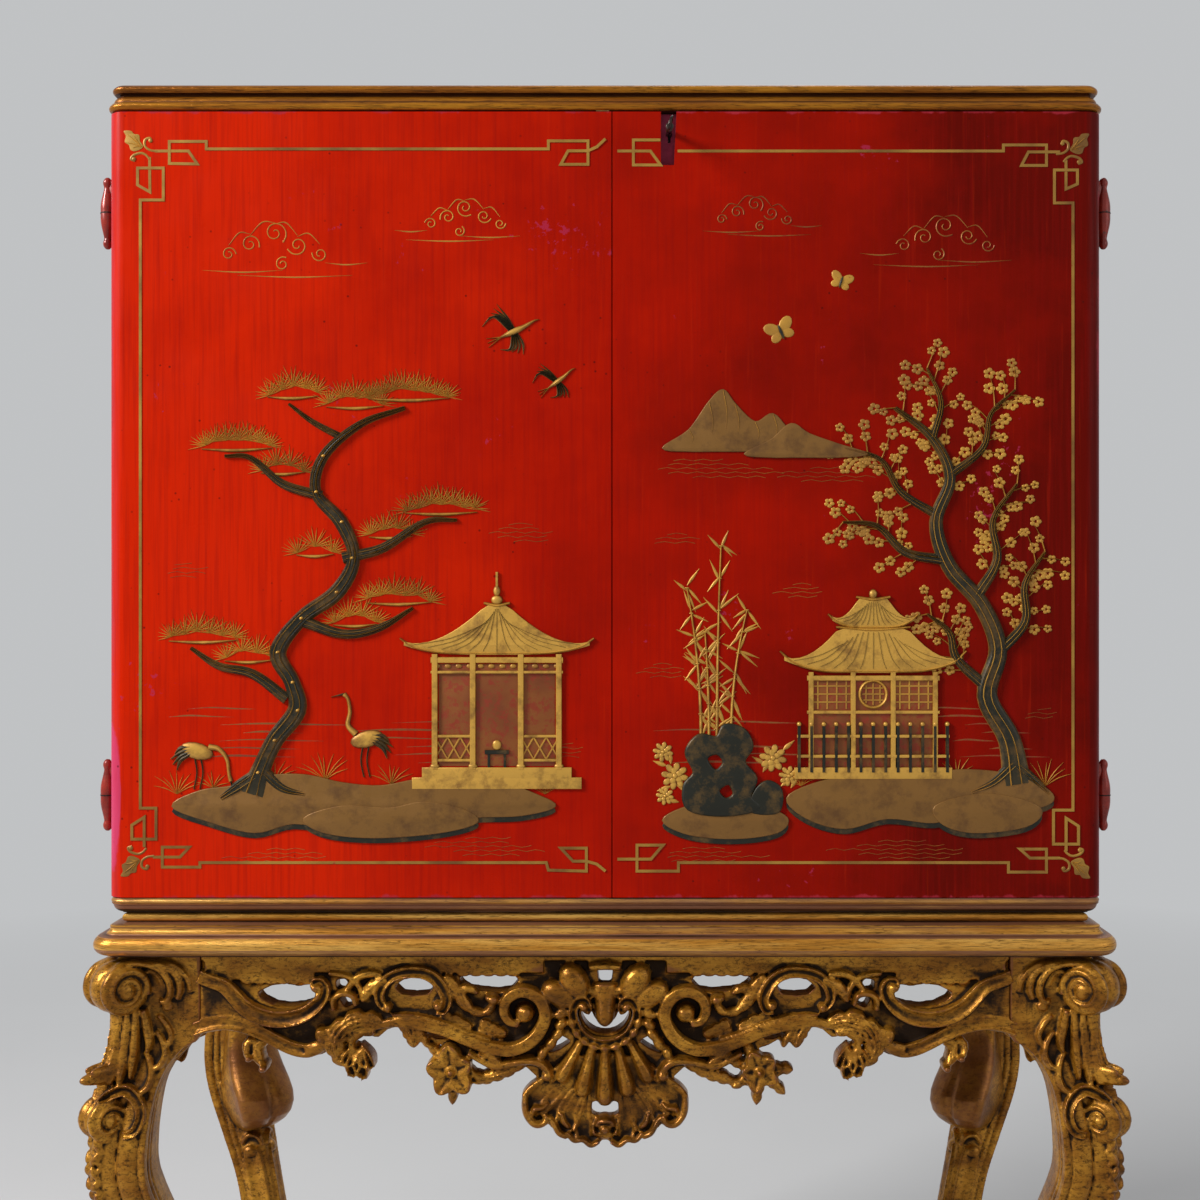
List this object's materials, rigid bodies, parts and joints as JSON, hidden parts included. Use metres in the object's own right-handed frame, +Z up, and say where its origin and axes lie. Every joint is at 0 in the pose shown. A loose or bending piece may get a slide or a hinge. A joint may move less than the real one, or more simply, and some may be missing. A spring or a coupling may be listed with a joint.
{
  "type": "bar cabinet",
  "caption": "Two-door lacquered bar cabinet with shelves and a mirror inside, on a carved, pierced gilt stand with cabriole legs.",
  "frame": {"origin": "on the floor under the middle of the cabinet, midway between the leg scrolls on both axes", "axes": "+X to the viewer's right, +Y from the doors to the back, +Z up"},
  "size_m": [1.05, 0.4859, 1.56],
  "materials": {
    "red_lacquer": "satin lacquer with gilt and raised decoration",
    "gilt_wood": "antique gilding over gesso, rubbed and glazed",
    "stained_wood": "stained and waxed",
    "clear_glass": "polished",
    "mirror_glass": "silvered",
    "brass": "dulled",
    "steel": "dark",
    "black_iron": "blackened",
    "painted_hinge": "painted over with the case's lacquer"
  },
  "bodies": {
    "case": {"crown_moulding": "gilt_wood", "crown_board": "red_lacquer", "case_top": "stained_wood", "case_bottom": "stained_wood", "right_side": "red_lacquer", "left_side": "red_lacquer", "back_board": "stained_wood", "plinth_moulding": "gilt_wood", "plinth_board": "stained_wood", "middle_shelf": "stained_wood", "bottle_divider": "stained_wood", "glass_shelf": "clear_glass", "glass_battens": "stained_wood", "mirror": "mirror_glass", "strike_plate": "brass", "upper_bolt_keeper": "brass", "lower_bolt_keeper": "brass", "hinge_case_halves": "painted_hinge", "hinge_rings": "black_iron", "stand_moulding": "gilt_wood", "stand_board": "stained_wood", "front_apron": "gilt_wood", "left_apron": "gilt_wood", "right_apron": "gilt_wood", "back_rail": "gilt_wood", "corner_blocks": "stained_wood", "front_left_leg": "gilt_wood", "front_right_leg": "gilt_wood", "rear_left_leg": "gilt_wood", "rear_right_leg": "gilt_wood"},
    "left_door": {"left_door": "red_lacquer", "left_hinge_door_halves": "painted_hinge", "upper_bolt_plate": "brass", "lower_bolt_plate": "brass"},
    "right_door": {"right_door": "red_lacquer", "right_hinge_door_halves": "painted_hinge", "lock_case": "steel", "lock_cover": "steel", "drill_pin": "steel"},
    "key": {"key": "black_iron"},
    "lock_bolt": {"lock_bolt": "brass"},
    "upper_bolt": {"upper_bolt": "brass"},
    "lower_bolt": {"lower_bolt": "brass"}
  },
  "joints": [
    {"name": "left_door_swing", "type": "hinge", "parent": "case", "child": "left_door", "pos_m": [-0.5062, -0.1845, 1.14], "axis": [0, 0, -1], "range_deg": [0, 180]},
    {"name": "right_door_swing", "type": "hinge", "parent": "case", "child": "right_door", "pos_m": [0.5062, -0.1845, 1.14], "axis": [0, 0, 1], "range_deg": [0, 180]},
    {"name": "key_turn", "type": "hinge", "parent": "right_door", "child": "key", "pos_m": [0.0644, -0.19, 1.512], "axis": [0, 1, 0], "range_deg": [0, 90]},
    {"name": "lock_bolt_throw", "type": "slide", "parent": "right_door", "child": "lock_bolt", "axis": [0, 0, 1], "range_m": [0, 0.0085]},
    {"name": "upper_bolt_slide", "type": "slide", "parent": "left_door", "child": "upper_bolt", "axis": [0, 0, 1], "range_m": [0, 0.011]},
    {"name": "lower_bolt_slide", "type": "slide", "parent": "left_door", "child": "lower_bolt", "axis": [0, 0, -1], "range_m": [0, 0.011]}
  ],
  "couplings": [
    {"joint": "lock_bolt_throw", "follows": "key_turn", "m_per_rad": 0.00541}
  ]
}
